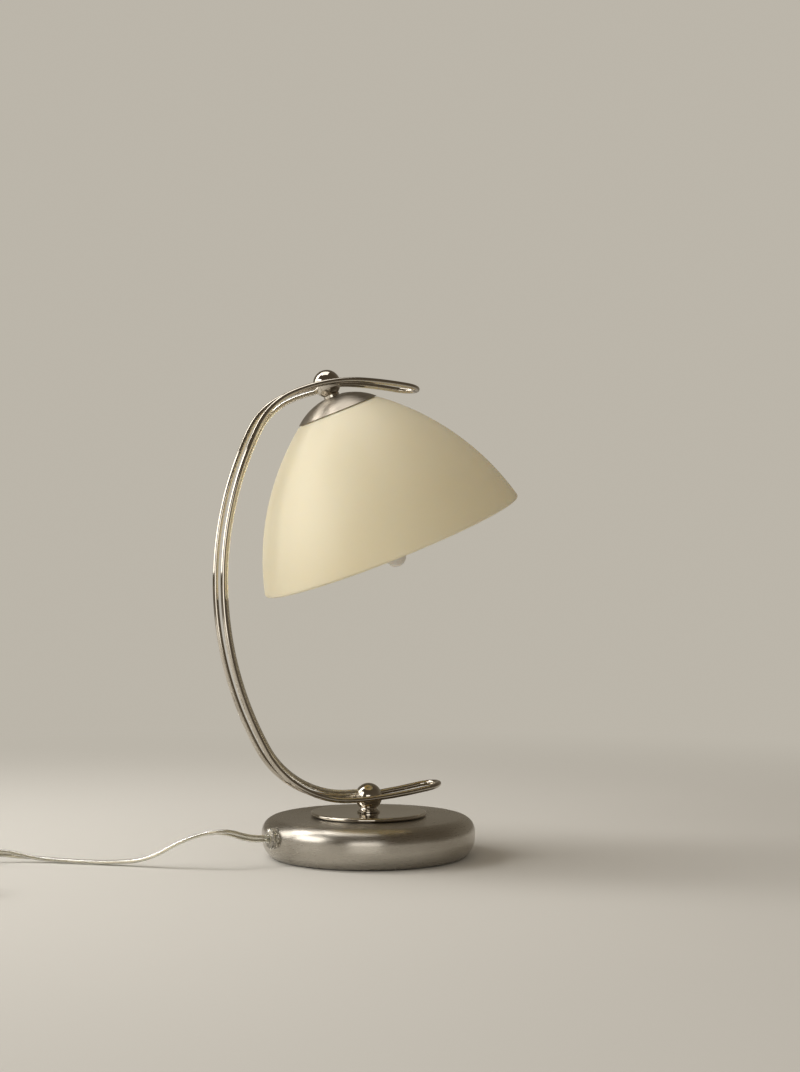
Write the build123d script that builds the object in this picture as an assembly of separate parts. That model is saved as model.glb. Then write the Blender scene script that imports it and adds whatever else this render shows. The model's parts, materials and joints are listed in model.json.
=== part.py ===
from build123d import *
import os
from math import atan2, cos, degrees, hypot, pi, radians, sin, sqrt, tan

# Arc table lamp, in millimetres. The origin is on the table under the middle of the base,
# +Z is up, the arc lies in the XZ plane with its back at -X, and the cord leaves near -X.

# Fits between pieces
fit = 0.05  # radial clearance of a pin, tube or thread in its hole
slip = 0.3  # gap between two bodies that turn past each other
loose = 0.4  # clearance round a part that is only dropped in

# Base: a pressed steel bun over a cast weight
base_r = 78.2
base_top = 29.0
base_wall = 1.5
shoulder_r = 11.0
belly_r = 17.0
belly_z = 14.5
rim_z = 0.9
post_r = 4.0
post_circle_r = 48.0
post_count = 3
screw_r = 2.0
screw_head_r = 3.6
screw_head_h = 1.6
screw_slot_w = 0.8
screw_slot_depth = 0.6
screw_bite = 7.0
cover_gap = 1.2
cover_t = 1.2
pad_t = 1.8
pad_inset = 3.0
pad_edge = 0.4
weight_h = 10.0
weight_hole_r = 17.0
weight_gap = 1.5
weight_edge = 1.0

# Trim disc and swivel under the lower ball
disc_r = 42.5
disc_flat_r = 33.0
disc_boss_r = 30.0
disc_rise = 1.5  # height of the boss that it stands on
disc_t = 1.2
disc_lift = 0.6
disc_edge = 0.5
stem_r = 5.0
stem_bore_r = 3.3
stem_below = 10.5
stem_grip = 6.0  # how far the stem goes into the lower ball
washer_r = 9.0
washer_t = 1.0
spring_washer_r = 8.0
spring_washer_t = 1.8
spring_split_w = 0.8
spring_split_lean = 30.0
nut_across = 17.0
nut_t = 4.0
foot_r = 8.5
foot_edge = 0.8
foot_neck_r = 6.3
foot_hollow = 0.5

# Balls and rods
ball_r = 10.0
lower_ball_z = 43.0
rod_r = 2.0
rod_offset = ball_r + rod_r + slip
pin_r = 1.2
pin_depth = 3.2
ball_slope = 5.0  # degrees that the rods rise to the right at the lower ball
lip_r = 420.0  # rods from the lower ball to their right-hand end: radius, and turn in degrees
lip_turn = 5.8
heel_r = 200.0  # the other way from the lower ball, five arcs up to the upper ball
heel_turn = 5.0
low_bend_r = 72.0
low_bend_turn = 61.0
back_r = 250.3
back_turn = 55.0
high_bend_r = 54.0
high_bend_turn = 40.0
crown_r = 124.0
crown_turn = 13.5
crest_turn = 12.0  # how far the crown's arc goes on past the upper ball
top_lip_r = 330.0
top_lip_turn = 5.4

# Cable that follows the inside of the arc
cable_r = 1.8
cable_inset = 4.6
cable_stop = 6.5  # how far before the upper ball's middle the cable ends
tilt_range = 8.0  # degrees that the shade tilts each way
slot_spare = 3.5  # degrees that the slot for the cable is longer than the tilt at each end

# Shade head, measured down from the middle of the upper ball along the shade's own axis
shade_tilt = 23.0
collar_top = 8.3
collar_r = 5.8
nipple_r = 4.0
nipple_bore_r = 2.8
nipple_top = 3.0
nipple_end = 3.0  # how far the nipple goes into the lampholder
cap_top = 10.3
cap_base = 21.3
cap_r = 30.6
cap_dome_r = 46.0
cap_wall = 1.2
cap_edge = 0.4
cap_nut_across = 13.0
cap_nut_t = 2.0
glass_wall = 3.6
glass_shoulder_r = 31.0
glass_shoulder_rise = 4.8
glass_gap = 0.9
glass_r = 100.2
glass_drop = 106.0
glass_arc_r = 190.0
holder_r = 14.0
holder_wall = 1.5
holder_flange_r = 18.0
holder_flange_t = 1.6
holder_joint = 31.0
holder_mouth = 72.0
holder_mouth_round = 1.0
holder_hole_gap = 0.6
ring_t = 4.0
ring_gap = 0.6
ring_notches = 12
ring_notch_r = 1.2
sleeve_r = 7.2
sleeve_wall = 0.4
sleeve_inset = 1.0
core_r = 12.3
core_top = 40.0
core_bottom = 66.0
core_web = 4.0
contact_r = 2.8
contact_t = 1.5
head_wire_r = 0.8
head_wire_spread = 1.3
bulb_r = 17.5
bulb_widest = 98.0
bulb_taper_r = 78.0
bulb_tip_r = 5.0
bulb_glass_t = 0.8
bulb_cap_r = sleeve_r - sleeve_wall - fit
bulb_cap_top = 49.0
bulb_cap_taper = 2.0
bulb_cap_end_r = 3.5
bulb_contact_r = 2.4
mount_r = 2.6
mount_l = 20.0
filament_l = 40.0
filament_r = 0.5
filament_half = 3.5
filament_bead_r = 1.4

# Cord: flat two-core lead, standing on its edge
cord_w = 5.4
cord_t = 2.8
cord_z = cord_w / 2
bushing_r = 7.5
bushing_neck_r = 5.5
bushing_out = 3.4
bushing_in = 14.0
bushing_bore_r = 3.1
bushing_round = 1.2
bushing_z = 18.4
bushing_turn = 12.0  # degrees that it sits round from the back, towards -Y
bushing_nut_t = 4.0
bushing_nut_across = 14.0
bend_share = 0.45  # how much of the shorter run each bend of a cord takes up

# Clamp and terminal block on the weight, and the wires that go up the stem
clamp_gap = 4.2  # between the bushing's inner end and the clamp
clamp_l = 8.0
clamp_t = 1.6
clamp_foot_w = 22.0
clamp_screw_y = 7.5
clamp_screw_r = 2.4
clamp_screw_h = 1.5
block_gap = 9.5  # between the clamp and the block
block_l = 17.0
block_w = 13.0
block_h = 9.0
block_pitch = 5.5
block_round = 1.2
block_hole_r = 1.6
block_hole_depth = 3.0
wire_r = 1.1
wire_spread = 1.3
wire_bend = 6.0
wire_dip = 6.0

# Cord switch
switch_l = 58.0
switch_w = 25.0
switch_h = 17.0
switch_split = 9.0
switch_wall = 1.6
switch_end_w = 12.0
switch_taper = 14.0
switch_corner_r = 2.5
switch_edge_r = 1.4
switch_entry_z = 7.5
cradle_x = 13.6
cradle_l = 4.0
cradle_h = 3.0
ear_l = 6.0
ear_t = 2.0
ear_below = 2.0  # how far the ears reach below the rocker's pin
strip_y = 6.5
strip_w = 3.0
strip_t = 0.8
cord_grip = 4.0  # how far the cord reaches into the switch at each end
switch_x = -307.0
switch_y = 58.0
rocker_l = 17.0
rocker_w = 9.0
rocker_z = 13.0
rocker_rest = 8.0  # degrees that the rocker leans at rest, and leans the other way when pressed
rocker_rise = 1.6  # how far its ends stand above the case when it is level
rocker_hollow = 1.6
rocker_flare = 1.5
rocker_keel = 1.0
rocker_pin_r = 1.5
rocker_pin_grip = 1.6

# Put-away coil: pairs of layers of half turns
coil_x = -345.5
coil_y = -8.0
coil_r = 36.5
coil_gap = 0.5
coil_in_turns = 7
coil_out_turns = 6
tie_t = 0.7
tie_w = 9.0
tie_corner_r = 1.0
coil_z = cord_z + tie_t + loose

# Plug: flat two-pin
plug_l = 37.0
plug_w = 35.0
plug_t = 13.7
plug_tail_w = 14.0
plug_tail_l = 9.0
plug_flare_l = 12.0
plug_corner_r = 3.0
plug_edge_r = 2.2
plug_pin_r = 2.0
plug_pin_l = 19.0
plug_pin_root = 8.0
plug_pin_tip_r = 1.4
plug_pin_pitch = 18.6
plug_x = -332.3
plug_y = -66.5
plug_z = plug_t / 2
relief_l = 12.7  # tapered sleeve round the cord behind the plug
relief_r = 4.4
relief_root_r = 6.2
relief_grip = 6.4  # how far the cord reaches into it
relief_gap = 0.2  # clearance round the cord
relief_grooves = 4
relief_groove_w = 1.1
relief_groove_depth = 0.8

# Corners of the free cord's routes: shares of the way from end to end along X and Y, and height
lead_straight = 13.9  # how far it runs straight out of the bushing
hump_z = 26.3
hump_end_z = 21.1
fall_z = 5.4
lift_z = 3.2
lead_corners = [
    (0.171, -0.062, hump_z),
    (0.290, 0.060, hump_end_z),
    (0.407, 0.246, fall_z),
    (0.525, 0.467, cord_z),
    (0.654, 0.700, cord_z),
    (0.773, 0.893, lift_z),
    (0.891, 1, switch_entry_z),
]
link_high_z = 6.0
link_low_z = 4.2
link_corners = [
    (0.38, 0, switch_entry_z),
    (0.72, 0.132, link_high_z),
    (0.97, 0.470, link_low_z),
    (1, 0.809, coil_z),
]
tail_top_z = coil_z + cord_w + coil_gap
tail_low_z = 7.35
tail_corners = [
    (0, 0.264, tail_top_z),
    (0.053, 0.603, tail_low_z),
    (0.347, 0.896, plug_z),
    (0.719, 1, plug_z),
]


def turned(outline):
    """A solid turned about Z from a closed outline of (radius, height)."""
    return revolve(Plane.XZ * make_face(outline), Axis.Z)


def washer(inner_r, outer_r, low, high):
    """A plain ring about Z between two heights."""
    ring = Cylinder(outer_r, high - low) - Cylinder(inner_r, high - low)
    return Pos(0, 0, (low + high) / 2) * ring


def rod(radius, low, high):
    """A plain round bar about Z between two heights."""
    return Pos(0, 0, (low + high) / 2) * Cylinder(radius, high - low)


def hex_nut(across, bore_r, low, high):
    """A hexagon nut about Z."""
    flat = RegularPolygon(across / 2, 6, major_radius=False) - Circle(bore_r)
    return Pos(0, 0, low) * extrude(flat, high - low)


def ring_of(shape, radius, count):
    """Copies of a shape round the Z axis."""
    return [Rot(0, 0, 360 * i / count) * Pos(radius, 0, 0) * shape for i in range(count)]


def arc_centre(start, end, radius):
    """The centre of the arc that bulges to the right of the way from start to end."""
    middle = ((start[0] + end[0]) / 2, (start[1] + end[1]) / 2)
    dx, dy = end[0] - start[0], end[1] - start[1]
    half = hypot(dx, dy) / 2
    away = sqrt(radius**2 - half**2) / (2 * half)
    return (middle[0] - dy * away, middle[1] + dx * away)


def toward(point, centre, shift):
    """The point moved by shift towards the centre."""
    far = hypot(point[0] - centre[0], point[1] - centre[1])
    share = 1 - shift / far
    return (centre[0] + (point[0] - centre[0]) * share, centre[1] + (point[1] - centre[1]) * share)


# Base


def bun(inset):
    """The bun's solid, drawn in from the outside by inset and open at the rim."""
    side = base_r - inset
    shoulder = (base_r - shoulder_r, base_top - shoulder_r)
    belly_x = base_r - belly_r
    belly = belly_r - inset
    rim_r = belly_x + sqrt(belly**2 - (belly_z - rim_z) ** 2)
    turn = radians(45)
    low = (belly_x + belly * cos(turn / 2), belly_z - belly * sin(turn / 2))
    high_r = shoulder_r - inset
    high = (shoulder[0] + high_r * cos(turn), shoulder[1] + high_r * sin(turn))
    outline = [
        Line((0, rim_z), (rim_r, rim_z)),
        ThreePointArc((rim_r, rim_z), low, (side, belly_z)),
        Line((side, belly_z), (side, shoulder[1])),
        ThreePointArc((side, shoulder[1]), high, (shoulder[0], base_top - inset)),
        Line((shoulder[0], base_top - inset), (0, base_top - inset)),
        Line((0, base_top - inset), (0, rim_z)),
    ]
    return turned(outline)


def round_base(shape):
    """Turns a shape made at the back of the base, at -X, round to the bushing."""
    return Rot(0, 0, bushing_turn) * shape


def at_bushing(shape):
    """Lays a shape made about Z along the bushing's axis, with +Z pointing out of the base."""
    return round_base(Pos(0, 0, bushing_z) * Rot(0, -90, 0) * shape)


def base_shell():
    shell = bun(0) - bun(base_wall)
    shell -= rod(stem_r + fit, base_top - 2 * base_wall, base_top + base_wall)
    return shell - at_bushing(rod(bushing_neck_r + fit, base_r - bushing_in, base_r + bushing_out))


cover_z = pad_t
weight_z = cover_z + cover_t
weight_top = weight_z + weight_h
shell_under = base_top - base_wall
opening_r = base_r - belly_r + sqrt((belly_r - base_wall) ** 2 - (belly_z - rim_z) ** 2)


def base_posts():
    post = rod(post_r, weight_top, shell_under) - rod(screw_r, weight_top, weight_top + screw_bite)
    return ring_of(post, post_circle_r, post_count)


def cover_screws():
    head = Pos(0, 0, cover_z + screw_head_h / 2) * Cone(screw_head_r, screw_r, screw_head_h)
    screw = head + rod(screw_r, cover_z, weight_top + screw_bite)
    slot = Pos(0, 0, cover_z) * Box(2 * screw_head_r, screw_slot_w, 2 * screw_slot_depth)
    return ring_of(screw - slot, post_circle_r, post_count)


def screw_holes():
    sink = Pos(0, 0, cover_z + screw_head_h / 2) * Cone(screw_head_r, screw_r, screw_head_h)
    return ring_of(sink + rod(screw_r + fit, cover_z, weight_top), post_circle_r, post_count)


def base_weight():
    outer = opening_r - weight_gap
    ring = washer(weight_hole_r, outer, weight_z, weight_top)
    ring = chamfer(ring.edges().filter_by(GeomType.CIRCLE).sort_by(Edge.length)[-2:], weight_edge)
    for hole in screw_holes():
        ring -= hole
    return ring - nut_room()


def nut_room():
    """The notch in the weight for the bushing's nut and neck."""
    half = bushing_nut_across / sqrt(3) + loose
    depth = bushing_in + bushing_nut_t
    notch = Box(2 * depth, 2 * half, 2 * half)
    return round_base(Pos(-base_r, 0, bushing_z) * notch)


def base_cover():
    plate = rod(opening_r - cover_gap, cover_z, cover_z + cover_t)
    for hole in screw_holes():
        plate -= hole
    return plate


def base_pad():
    """The foam pad under the cover that the lamp stands on."""
    pad = rod(opening_r - cover_gap - pad_inset, 0, pad_t)
    return chamfer(pad.edges().sort_by(Axis.Z)[0], pad_edge)


def trim_disc():
    under = base_top + disc_rise
    outline = Polyline(
        (stem_r + fit, base_top),
        (disc_boss_r, base_top),
        (disc_boss_r, under),
        (disc_flat_r, under),
        (disc_r, under + disc_lift),
        (disc_r, under + disc_lift + disc_t),
        (disc_flat_r, disc_top),
        (stem_r + fit, disc_top),
        close=True,
    )
    disc = turned(outline)
    rim = disc.edges().filter_by(GeomType.CIRCLE).sort_by(Edge.length)[-2:]
    return fillet(rim, disc_edge)


# Swivel and lower ball

disc_top = base_top + disc_rise + disc_t
foot_z = disc_top + slip
washer_low = shell_under - washer_t
spring_low = washer_low - slip - spring_washer_t
stem_low = shell_under - stem_below
stem_high = lower_ball_z - ball_r + stem_grip
lower_ball = (0, lower_ball_z)


def friction_washer():
    return washer(stem_r + fit, washer_r, washer_low, shell_under)


def spring_washer():
    ring = washer(stem_r + fit, spring_washer_r, spring_low, spring_low + spring_washer_t)
    middle = Pos((spring_washer_r + stem_r) / 2, 0, spring_low + spring_washer_t / 2)
    split = Box(spring_washer_r, spring_split_w, 4 * spring_washer_t)
    return ring - middle * Rot(spring_split_lean, 0, 0) * split


def stem_nut():
    return hex_nut(nut_across, stem_r + fit, spring_low - nut_t, spring_low)


def swivel_stem():
    return washer(stem_bore_r, stem_r, stem_low, stem_high)


def swivel_foot():
    neck_z = lower_ball_z - sqrt(ball_r**2 - foot_neck_r**2)
    edge_z = foot_z + foot_edge
    bulge = ((foot_r + foot_neck_r) / 2 - foot_hollow, (edge_z + neck_z) / 2 - foot_hollow)
    outline = [
        Line((stem_r + fit, foot_z), (foot_r, foot_z)),
        Line((foot_r, foot_z), (foot_r, edge_z)),
        ThreePointArc((foot_r, edge_z), bulge, (foot_neck_r, neck_z)),
        Line((foot_neck_r, neck_z), (stem_r + fit, neck_z)),
        Line((stem_r + fit, neck_z), (stem_r + fit, foot_z)),
    ]
    return turned(outline) - Pos(0, 0, lower_ball_z) * Sphere(ball_r)


# Arc: the route of the rods is a chain of tangent arcs in the XZ plane


def chain(start, heading, arcs, shift=0):
    """Tangent arcs turning right from start, each (radius, turn), shifted to their right side."""
    edges = []
    right = radians(heading - 90)
    point = (start[0] + shift * cos(right), start[1] + shift * sin(right))
    for radius, turn in arcs:
        way = (cos(radians(heading)), sin(radians(heading)))
        edges.append(JernArc(point, way, radius - shift, -turn))
        point = tuple(edges[-1] @ 1)[:2]
        heading -= turn
    return edges, point, heading


back_arcs = [
    (heel_r, heel_turn),
    (low_bend_r, low_bend_turn),
    (back_r, back_turn),
    (high_bend_r, high_bend_turn),
    (crown_r, crown_turn),
]
top_arcs = [(crown_r, crest_turn), (top_lip_r, top_lip_turn)]
back_edges, upper_ball, upper_heading = chain(lower_ball, 180 + ball_slope, back_arcs)
top_edges, top_end, top_heading = chain(upper_ball, upper_heading, top_arcs)
lip_way = (cos(radians(ball_slope)), sin(radians(ball_slope)))
lip_edge = JernArc(lower_ball, lip_way, lip_r, lip_turn)
lip_end = tuple(lip_edge @ 1)[:2]
lip_heading = ball_slope + lip_turn


def end_loop(end, heading):
    """The half circle that joins the two legs past one end, with its middle in the XZ plane."""
    reach = (cos(radians(heading)) * rod_offset, sin(radians(heading)) * rod_offset)
    return ThreePointArc(
        (end[0], -rod_offset, end[1]),
        (end[0] + reach[0], 0, end[1] + reach[1]),
        (end[0], rod_offset, end[1]),
    )


def leg(side):
    """One leg of the loop, at Y = side."""
    way = (cos(radians(180 + ball_slope)), 0, sin(radians(180 + ball_slope)))
    route = [Plane.XZ * edge for edge in [lip_edge, *back_edges, *top_edges]]
    route = [Pos(0, side, 0) * edge for edge in route]
    start = Plane(origin=(lower_ball[0], side, lower_ball[1]), z_dir=way)
    section = start * Circle(rod_r)
    return sweep(section, Wire(route[1:])) + sweep(section, Wire(route[:1]))


def loop_bar(end, heading):
    """The bent end of the rod."""
    route = end_loop(end, heading)
    start = Plane(origin=route @ 0, z_dir=route % 0)
    return sweep(start * Circle(rod_r), Wire([route]))


def arc_rods():
    bars = leg(-rod_offset) + leg(rod_offset)
    return bars + loop_bar(top_end, top_heading) + loop_bar(lip_end, lip_heading)


def arm_pins(rods):
    """Stubs brazed to the rods: two hold the lower ball, and the shade tilts on the other two."""
    pins = []
    length = rod_offset - ball_r + pin_depth
    for x, z in (lower_ball, upper_ball):
        for side in (-1, 1):
            middle = side * (rod_offset - length / 2)
            pins.append(Pos(x, middle, z) * Rot(90, 0, 0) * Cylinder(pin_r, length) - rods)
    return pins


def pin_holes(gap):
    """The two holes for the pins in a ball that has its middle at the origin."""
    depth = pin_depth + gap
    hole = Rot(90, 0, 0) * Cylinder(pin_r + fit, 2 * depth)
    return [Pos(0, side * ball_r, 0) * hole for side in (-1, 1)]


def cable_route():
    """Edges of the cable's route, inside the rods by cable_inset, from ball to ball."""
    last_radius, last_turn = back_arcs[-1]
    last = (last_radius, last_turn - degrees(cable_stop / last_radius))
    edges, _, _ = chain(lower_ball, 180 + ball_slope, [*back_arcs[:-1], last], cable_inset)
    return edges


def arc_cable():
    edges = [Plane.XZ * edge for edge in cable_route()]
    start = Plane(origin=edges[0] @ 0, z_dir=edges[0] % 0)
    return sweep(start * Circle(cable_r), Wire(edges))


def lower_ball_part():
    ball = Sphere(ball_r)
    for hole in pin_holes(fit):
        ball -= hole
    ball -= rod(stem_r, -ball_r, stem_high - lower_ball_z)
    ball -= rod(stem_bore_r, -ball_r, cable_inset)
    way = Rot(0, -90 - ball_slope, 0) * rod(cable_r + slip, 0, 2 * ball_r)
    return Pos(lower_ball[0], 0, lower_ball[1]) * (ball - Pos(0, 0, cable_inset) * way)


def stem_wires():
    """Two cores from the terminal block, up through the stem and into the lower ball."""
    cores = []
    top = lower_ball_z + cable_inset - cable_r - slip
    for side in (-1, 1):
        points = [
            (block_x + block_l / 2, side * block_pitch / 2, block_z),
            (block_x + block_l, side * block_pitch / 2, block_z),
            (-wire_bend, side * wire_spread, block_z - wire_dip),
            (0, side * wire_spread, block_z - wire_dip / 2),
            (0, side * wire_spread, top),
        ]
        cores.append(round_base(tube(points, wire_r)))
    return cores


# Shade head, made upright below the origin, with the upper ball's middle at the origin


def slot_cut():
    """The slot in the upper ball that lets it tilt past the end of the cable."""
    upper = degrees(atan2(cable_inset - cable_r, ball_r))
    lower = degrees(atan2(cable_inset + cable_r, cable_stop))
    first = 180 + upper_heading + upper - slot_spare - tilt_range
    last = 180 + upper_heading + lower + slot_spare + tilt_range
    floor_r = hypot(cable_stop, cable_inset - cable_r) - loose
    width = 2 * (cable_r + loose)
    from_middle = (Align.NONE, Align.NONE, Align.CENTER)
    sector = Cylinder(2 * ball_r, width, arc_size=last - first, align=from_middle)
    sector -= Cylinder(floor_r, width)
    return Rot(90, 0, 0) * Rot(0, 0, first) * sector


def upper_ball_part():
    """The upper ball, in the lamp's own directions, apart from its bore."""
    ball = Sphere(ball_r) - slot_cut()
    for hole in pin_holes(slip):
        ball -= hole
    bore = rod(nipple_r + fit, -ball_r, -nipple_top) + rod(ball_r, -2 * ball_r, -collar_top)
    return ball - Rot(0, -shade_tilt, 0) * bore


def neck_collar():
    return washer(nipple_r + fit, collar_r, -cap_top, -collar_top)


def head_nipple():
    return washer(nipple_bore_r, nipple_r, -holder_top - holder_wall - nipple_end, -nipple_top)


def cap_dome(inset):
    """The cap's solid dome, drawn in by inset."""
    radius = cap_dome_r - inset
    centre = -cap_base - sqrt(cap_dome_r**2 - cap_r**2)
    ball = Pos(0, 0, centre) * Sphere(radius)
    return ball & rod(cap_r, -cap_base, -cap_top - inset)


def shade_cap():
    cap = cap_dome(0) - cap_dome(cap_wall) - rod(nipple_r + fit, -cap_base, 0)
    rim = cap.edges().group_by(Axis.Z)[0].sort_by(Edge.length)[-1]
    return fillet(rim, cap_edge)


def cap_nut():
    low = -cap_top - cap_wall - cap_nut_t
    return hex_nut(cap_nut_across, nipple_r + fit, low, low + cap_nut_t)


def cap_under(radius):
    """The height of the cap's inner face at a radius."""
    centre = -cap_base - sqrt(cap_dome_r**2 - cap_r**2)
    return centre + sqrt((cap_dome_r - cap_wall) ** 2 - radius**2)


holder_top = cap_top + cap_wall + cap_nut_t
flange_top = cap_under(holder_flange_r) - loose
glass_hole_r = holder_r + holder_hole_gap
shoulder_z = -cap_base - glass_gap
hole_z = shoulder_z + glass_shoulder_rise


def glass_shade():
    shoulder = (glass_shoulder_r, shoulder_z)
    rim = (glass_r, -cap_base - glass_drop)
    centre = arc_centre(rim, shoulder, glass_arc_r)
    inner_rim = toward(rim, centre, glass_wall)
    inner_shoulder = toward(shoulder, centre, glass_wall)
    bulge = toward_arc(rim, shoulder, centre, glass_arc_r)
    inner_bulge = toward(bulge, centre, glass_wall)
    outline = [
        Line((glass_hole_r, hole_z - glass_wall), (glass_hole_r, hole_z)),
        Line((glass_hole_r, hole_z), shoulder),
        ThreePointArc(shoulder, bulge, rim),
        Line(rim, inner_rim),
        ThreePointArc(inner_rim, inner_bulge, inner_shoulder),
        Line(inner_shoulder, (glass_hole_r, hole_z - glass_wall)),
    ]
    glass = turned(outline)
    rim_edges = glass.edges().group_by(Axis.Z)[:2]
    return fillet([edge for group in rim_edges for edge in group], glass_wall * 0.47)


def toward_arc(start, end, centre, radius):
    """The point half way along the arc from start to end."""
    middle = ((start[0] + end[0]) / 2, (start[1] + end[1]) / 2)
    far = hypot(middle[0] - centre[0], middle[1] - centre[1])
    return toward(middle, centre, far - radius)


def shoulder_height(radius):
    """The height of the glass's upper face at a radius under the cap."""
    slope = glass_shoulder_rise / (glass_shoulder_r - glass_hole_r)
    return hole_z - (radius - glass_hole_r) * slope


def shade_gasket():
    inner = glass_hole_r
    seat = flange_top - holder_flange_t
    outline = Polyline(
        (inner, seat),
        (holder_flange_r, seat),
        (holder_flange_r, shoulder_height(holder_flange_r)),
        (inner, shoulder_height(inner)),
        close=True,
    )
    return turned(outline)


def lampholder_cap():
    cup = rod(holder_r, -holder_joint, -holder_top)
    cup += rod(holder_flange_r, flange_top - holder_flange_t, flange_top)
    cup -= rod(holder_r - holder_wall, -holder_joint, -holder_top - holder_wall)
    return cup - rod(nipple_r + fit, -holder_joint, 0)


ring_top = shoulder_height(holder_flange_r) - glass_wall - ring_gap


def shade_ring():
    ring = washer(holder_r + fit, holder_flange_r, ring_top - ring_t, ring_top)
    for notch in ring_of(Cylinder(ring_notch_r, 3 * ring_t), holder_flange_r, ring_notches):
        ring -= Pos(0, 0, ring_top) * notch
    return ring


def lampholder_body():
    body = rod(holder_r, -holder_mouth, -holder_joint)
    body -= rod(holder_r - holder_wall, -holder_mouth, -holder_joint)
    mouth = body.edges().group_by(Axis.Z)[0].sort_by(Edge.length)[-1]
    return fillet(mouth, holder_mouth_round)


def socket_core():
    core = rod(core_r, -core_bottom, -core_top)
    core -= rod(sleeve_r, -core_bottom, -core_top - core_web)
    return core - rod(contact_r, -core_bottom, -core_top)


def thread_sleeve():
    low = sleeve_inset - holder_mouth
    return washer(sleeve_r - sleeve_wall, sleeve_r, low, -core_top - core_web)


def centre_contact():
    return rod(contact_r, -bulb_cap_top + contact_t, -core_top)


def head_wires():
    wire = rod(head_wire_r, -core_top, -nipple_top)
    return [Pos(side * head_wire_spread, 0, 0) * wire for side in (-1, 1)]


def bulb_cap():
    shell = rod(bulb_cap_r, -holder_mouth, -bulb_cap_top - bulb_cap_taper)
    taper = Cone(bulb_cap_r, bulb_cap_end_r, bulb_cap_taper)
    shell += Pos(0, 0, -bulb_cap_top - bulb_cap_taper / 2) * taper
    shell += rod(bulb_contact_r, -bulb_cap_top, -bulb_cap_top + contact_t)
    return shell


def bulb_outline(inset):
    """The candle bulb's half outline, drawn in by inset, closed along its axis."""
    widest = bulb_r - inset
    centre_x = bulb_r - bulb_taper_r
    tip_centre = -bulb_widest - sqrt((bulb_taper_r - bulb_tip_r) ** 2 - centre_x**2)
    lean = atan2(-bulb_widest - tip_centre, -centre_x)
    taper = bulb_taper_r - inset
    tip = bulb_tip_r - inset
    joint = (tip * cos(lean), tip_centre - tip * sin(lean))
    half = lean / 2
    side = (centre_x + taper * cos(half), -bulb_widest - taper * sin(half))
    tip_turn = (lean + pi / 2) / 2
    tip_side = (tip * cos(tip_turn), tip_centre - tip * sin(tip_turn))
    neck_r = bulb_cap_r - inset
    rise = bulb_widest - holder_mouth
    neck = ((bulb_r - bulb_cap_r) ** 2 + rise**2) / (2 * (bulb_r - bulb_cap_r))
    neck_turn = atan2(rise, neck - bulb_r + bulb_cap_r) / 2
    shoulder = (bulb_r - neck + (neck - inset) * cos(neck_turn))
    shoulder_point = (shoulder, -bulb_widest + (neck - inset) * sin(neck_turn))
    return [
        ThreePointArc((neck_r, -holder_mouth), shoulder_point, (widest, -bulb_widest)),
        ThreePointArc((widest, -bulb_widest), side, joint),
        ThreePointArc(joint, tip_side, (0, tip_centre - tip)),
        Line((0, tip_centre - tip), (0, -holder_mouth)),
        Line((0, -holder_mouth), (neck_r, -holder_mouth)),
    ]


def bulb_glass():
    return turned(bulb_outline(0)) - turned(bulb_outline(bulb_glass_t))


def bulb_stem():
    """The glass mount and the filament's arch, which stands on two beads of the mount."""
    half = filament_half
    foot_z = -holder_mouth - mount_l + filament_bead_r
    arch_z = -holder_mouth - filament_l
    arch = [
        Line((-half, foot_z), (-half, arch_z)),
        ThreePointArc((-half, arch_z), (0, arch_z - half), (half, arch_z)),
        Line((half, arch_z), (half, foot_z)),
    ]
    path = Wire([Plane.XZ * edge for edge in arch])
    wire = sweep(Plane(origin=path @ 0, z_dir=path % 0) * Circle(filament_r), path)
    stem = rod(mount_r, -holder_mouth - mount_l, -holder_mouth) + wire
    for side in (-half, half):
        stem += Pos(side, 0, foot_z) * Sphere(filament_bead_r)
    return stem


# Cord


def length_between(p, q):
    return (Vector(*q) - Vector(*p)).length


def corner_radii(points):
    """The largest arc that each inner point of a route has room for."""
    radii = []
    for before, here, after in zip(points, points[1:], points[2:]):
        turn = (Vector(*here) - Vector(*before)).get_angle(Vector(*after) - Vector(*here))
        run = min(length_between(before, here), length_between(here, after))
        radii.append(bend_share * run / tan(radians(turn) / 2))
    return radii


def tube(points, radius):
    """A round wire along a route of straight runs and tangent arcs."""
    path = FilletPolyline(*points, radius=corner_radii(points))
    return sweep(Plane(origin=path @ 0, z_dir=path % 0) * Circle(radius), path)


def cord_section():
    """The flat cord's section: two round cores side by side, drawn with eight sides."""
    w, t, cut = cord_w / 2, cord_t / 2, cord_t * 0.3
    corners = [(w, t - cut), (w - cut, t), (cut - w, t), (-w, t - cut)]
    corners += [(-x, -y) for x, y in corners]
    return make_face(Polyline(*corners, close=True))


def cord_along(path):
    """The flat cord on its edge along a path that starts level or nearly so."""
    start = Plane(origin=path @ 0, x_dir=(0, 0, 1), z_dir=path % 0)
    return sweep(start * cord_section(), path)


def free_cord(name, points):
    """A free stretch of cord, with its radii and volume printed."""
    radii = corner_radii(points)
    path = FilletPolyline(*points, radius=radii)
    solid = cord_along(path)
    share = solid.volume / (cord_section().area * path.length)
    print(name, "radii", [round(r, 1) for r in radii], "length", round(path.length, 1), end=" ")
    print("volume over section times length", round(share, 4))
    return solid


bushing_face = base_r + bushing_out
clamp_x = bushing_in + clamp_gap + clamp_l / 2 - base_r
block_x = clamp_x + clamp_l / 2 + block_gap + block_l / 2
block_z = weight_top + block_h / 2


def cord_bushing():
    flange = rod(bushing_r, base_r - bushing_in, bushing_face)
    flange = fillet(flange.edges().group_by(Axis.Z)[-1], bushing_round)
    neck = rod(bushing_neck_r, base_r - bushing_in, base_r)
    bore = rod(bushing_bore_r, 0, 2 * base_r)
    return (at_bushing(flange - bore) - bun(0)) + at_bushing(neck - bore)


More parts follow.
